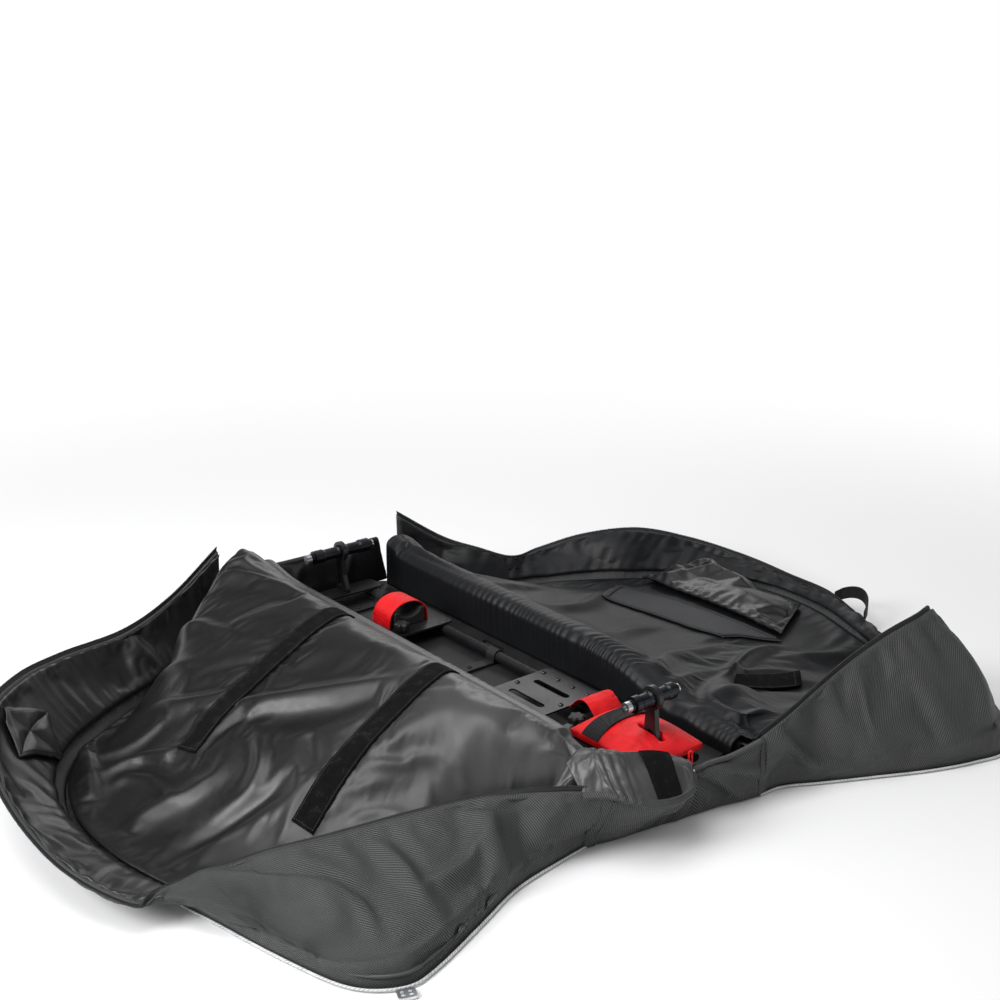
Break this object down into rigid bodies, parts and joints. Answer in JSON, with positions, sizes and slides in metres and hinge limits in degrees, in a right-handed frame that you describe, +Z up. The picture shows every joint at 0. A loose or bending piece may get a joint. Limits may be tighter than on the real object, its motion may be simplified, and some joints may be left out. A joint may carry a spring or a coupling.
{
  "type": "soft bike travel bag",
  "caption": "Soft padded bicycle travel bag lying open: wheeled tray with fork and dropout mounts, and two zip-edged side halves folded out.",
  "frame": {"origin": "middle of the open bag's outline in plan, on the floor", "axes": "+X to the front end of the tray, where the fork mount and the bottom of the zip are, +Y across the tray to the far half with the mesh pocket, +Z up"},
  "size_m": [1.2744, 1.7432, 0.2284],
  "materials": {
    "twill": "black ribbed polyester twill",
    "lining_gloss": "quilted glossy black nylon",
    "lining_matte": "dark grey nylon lining",
    "loop_tape": "black hook-and-loop tape and webbing",
    "red_nylon": "red padded nylon",
    "mesh_net": "black mesh net",
    "piping": "pale reflective piping",
    "black_steel": "black powder coat",
    "bright_steel": "bright zinc",
    "anodised": "black anodised",
    "moulded": "moulded black nylon",
    "tread": "black rubber"
  },
  "bodies": {
    "root": {"tray_board": "moulded", "bottom_cover": "twill", "near_wall": "lining_gloss", "far_wall": "lining_matte", "rear_wall": "lining_gloss", "front_wall": "twill", "front_corner_pad": "lining_gloss", "near_rail": "black_steel", "far_rail": "black_steel", "rear_crossbar": "moulded", "middle_crossbar": "moulded", "front_crossbar": "moulded", "middle_plate": "black_steel", "rear_carriage": "black_steel", "rear_post": "black_steel", "rear_dummy_hub": "anodised", "front_caster_plate": "black_steel", "rear_wheel_forks": "black_steel", "zip_slider": "bright_steel"},
    "near_half": {"near_liner": "lining_gloss", "near_shell": "twill", "near_front_gusset": "twill", "near_top_gusset": "twill", "near_zip_tape": "moulded", "near_piping": "piping", "near_rear_strip": "loop_tape", "near_front_strip": "loop_tape", "near_corner_tab": "lining_gloss", "near_buckle": "bright_steel"},
    "far_half": {"far_liner": "lining_matte", "far_shell": "twill", "far_front_gusset": "twill", "far_top_gusset": "twill", "far_zip_tape": "moulded", "far_piping": "piping", "far_mesh_pocket": "mesh_net", "far_flap": "lining_gloss", "far_front_strip": "loop_tape"},
    "carry_handle": {"carry_handle": "loop_tape"},
    "far_hook": {"far_hook": "bright_steel"},
    "front_mount": {"front_carriage": "black_steel", "front_post": "black_steel", "front_dummy_hub": "anodised", "front_pad": "red_nylon", "front_pad_strap": "loop_tape", "front_pad_flap": "red_nylon"},
    "front_axle": {"front_axle": "bright_steel"},
    "front_lock_knob": {"front_lock_knob": "moulded"},
    "rear_axle": {"rear_axle": "bright_steel"},
    "bracket_rest": {"rest_plate": "black_steel", "bracket_cradle": "tread", "bracket_strap": "red_nylon"},
    "rest_lock_knob": {"rest_lock_knob": "moulded"},
    "front_near_caster": {"front_near_fork": "black_steel"},
    "front_near_wheel": {"front_near_wheel": "tread"},
    "front_far_caster": {"front_far_fork": "black_steel"},
    "front_far_wheel": {"front_far_wheel": "tread"},
    "rear_near_wheel": {"rear_near_wheel": "tread"},
    "rear_far_wheel": {"rear_far_wheel": "tread"},
    "zip_pull": {"zip_pull": "red_nylon"}
  },
  "joints": [
    {"name": "near_half_fold", "type": "hinge", "parent": "root", "child": "near_half", "pos_m": [-0.05474, -0.15183, 0.15], "axis": [-1, 0, 0], "range_deg": [0, 85]},
    {"name": "far_half_fold", "type": "hinge", "parent": "root", "child": "far_half", "pos_m": [-0.05474, 0.12817, 0.15], "axis": [1, 0, 0], "range_deg": [0, 85]},
    {"name": "carry_handle_swing", "type": "hinge", "parent": "far_half", "child": "carry_handle", "pos_m": [0.08276, 0.82723, 0.047], "axis": [0.9423, -0.3349, 0], "range_deg": [0, 75]},
    {"name": "far_hook_swing", "type": "hinge", "parent": "far_half", "child": "far_hook", "pos_m": [0.61569, 0.58134, 0.0019], "axis": [0.29, -0.957, 0], "range_deg": [0, 90]},
    {"name": "front_mount_slide", "type": "slide", "parent": "root", "child": "front_mount", "axis": [1, 0, 0], "range_m": [-0.01, 0.005]},
    {"name": "front_axle_turn", "type": "hinge", "parent": "front_mount", "child": "front_axle", "pos_m": [0.35026, -0.01183, 0.188], "axis": [0, 1, 0], "continuous": true},
    {"name": "front_lock_knob_turn", "type": "hinge", "parent": "front_mount", "child": "front_lock_knob", "pos_m": [0.21126, -0.04383, 0.0946], "axis": [0, 0, 1], "continuous": true},
    {"name": "rear_axle_turn", "type": "hinge", "parent": "root", "child": "rear_axle", "pos_m": [-0.53274, -0.01183, 0.176], "axis": [0, 1, 0], "continuous": true},
    {"name": "bracket_rest_slide", "type": "slide", "parent": "root", "child": "bracket_rest", "axis": [1, 0, 0], "range_m": [-0.05, 0.07]},
    {"name": "rest_lock_knob_turn", "type": "hinge", "parent": "bracket_rest", "child": "rest_lock_knob", "pos_m": [-0.27974, -0.04383, 0.0946], "axis": [0, 0, 1], "continuous": true},
    {"name": "front_near_caster_swivel", "type": "hinge", "parent": "root", "child": "front_near_caster", "pos_m": [0.30526, -0.09583, 0.0539], "axis": [0, 0, 1], "continuous": true},
    {"name": "front_near_wheel_spin", "type": "hinge", "parent": "front_near_caster", "child": "front_near_wheel", "pos_m": [0.28726, -0.09583, 0.0235], "axis": [0, 1, 0], "continuous": true},
    {"name": "front_far_caster_swivel", "type": "hinge", "parent": "root", "child": "front_far_caster", "pos_m": [0.30526, 0.07217, 0.0539], "axis": [0, 0, 1], "continuous": true},
    {"name": "front_far_wheel_spin", "type": "hinge", "parent": "front_far_caster", "child": "front_far_wheel", "pos_m": [0.28726, 0.07217, 0.0235], "axis": [0, 1, 0], "continuous": true},
    {"name": "rear_near_wheel_spin", "type": "hinge", "parent": "root", "child": "rear_near_wheel", "pos_m": [-0.50674, -0.11583, 0.0235], "axis": [0, 1, 0], "continuous": true},
    {"name": "rear_far_wheel_spin", "type": "hinge", "parent": "root", "child": "rear_far_wheel", "pos_m": [-0.50674, 0.09217, 0.0235], "axis": [0, 1, 0], "continuous": true},
    {"name": "zip_pull_swing", "type": "hinge", "parent": "root", "child": "zip_pull", "pos_m": [0.42326, 0.00017, 0.0912], "axis": [0, 1, 0], "range_deg": [-25, 75]}
  ]
}
